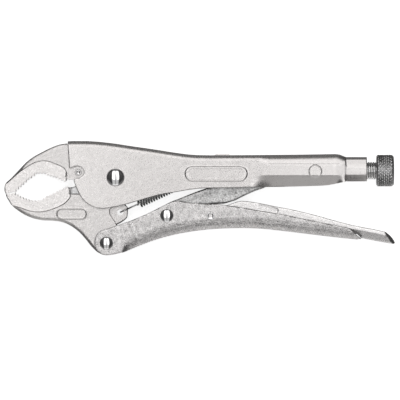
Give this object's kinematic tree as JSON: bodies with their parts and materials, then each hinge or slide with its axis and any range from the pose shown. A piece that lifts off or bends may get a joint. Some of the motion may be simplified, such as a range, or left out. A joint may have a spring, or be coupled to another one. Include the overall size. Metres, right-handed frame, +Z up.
{
  "type": "locking pliers",
  "caption": "Curved-jaw locking pliers: channel body, toothed jaws with cutters, over-centre toggle lever, release lever, jaw spring and knurled adjusting screw.",
  "frame": {"origin": "centre of the bounding box in X and Y, at the resting plane under the lowest rivet heads", "axes": "+X along the handle towards the knob, the jaws at -X; +Y towards the fixed handle, the lever at -Y; +Z up, across the tool's thickness"},
  "size_m": [0.25, 0.0732, 0.0232],
  "materials": {
    "body_satin": "satin nickel plated, fine sandblasted grain",
    "jaw_steel": "forged, satin nickel plated",
    "cutter_steel": "hardened and ground",
    "rivet_chrome": "polished",
    "lever_satin": "sandblasted and nickel plated, rougher than the body",
    "link_cast": "rough forged, plated",
    "screw_black": "black oxide with bright thread crests",
    "knob_black": "black oxide knurl with worn bright points",
    "spring_steel": "drawn wire"
  },
  "bodies": {
    "body": {"body_shell": "body_satin", "fixed_jaw": "jaw_steel", "upper_cutter": "cutter_steel", "cutter_pin": "cutter_steel", "main_rivet": "rivet_chrome", "spring_anchor": "body_satin", "jaw_spring": "spring_steel"},
    "lower_jaw": {"lower_jaw": "jaw_steel", "lower_cutter": "cutter_steel"},
    "lever": {"lever": "lever_satin", "lever_rivet": "rivet_chrome", "link_rivet": "rivet_chrome", "release_pin": "rivet_chrome"},
    "toggle_link": {"toggle_link": "link_cast"},
    "release_lever": {"release_lever": "lever_satin"},
    "screw": {"adjusting_screw": "screw_black"},
    "knob": {"knob": "knob_black"}
  },
  "joints": [
    {"name": "jaw_pivot", "type": "hinge", "parent": "body", "child": "lower_jaw", "pos_m": [-0.054, 0.0132, 0.0116], "axis": [0, 0, 1], "range_deg": [0, 20], "deforming": ["jaw_spring"]},
    {"name": "handle_pivot", "type": "hinge", "parent": "lower_jaw", "child": "lever", "pos_m": [-0.0598, -0.0288, 0.0116], "axis": [0, 0, 1], "range_deg": [-55.4, 0]},
    {"name": "link_pivot", "type": "hinge", "parent": "lever", "child": "toggle_link", "pos_m": [-0.0212, -0.0112, 0.0116], "axis": [0, 0, 1], "range_deg": [0, 60]},
    {"name": "release_pivot", "type": "hinge", "parent": "lever", "child": "release_lever", "pos_m": [0.0067, -0.0114, 0.0116], "axis": [0, 0, 1], "range_deg": [0, 3.5]},
    {"name": "screw_travel", "type": "slide", "parent": "body", "child": "screw", "axis": [1, 0, 0], "range_m": [0, 0.018]},
    {"name": "knob_turn", "type": "hinge", "parent": "screw", "child": "knob", "pos_m": [0.118, 0.0175, 0.0116], "axis": [1, 0, 0], "range_deg": [0, 4320]}
  ],
  "couplings": [
    {"joint": "jaw_pivot", "follows": "handle_pivot", "ratio": -0.36059},
    {"joint": "link_pivot", "follows": "handle_pivot", "ratio": -1.0775},
    {"joint": "knob_turn", "follows": "screw_travel", "rad_per_m": 4188.8}
  ]
}
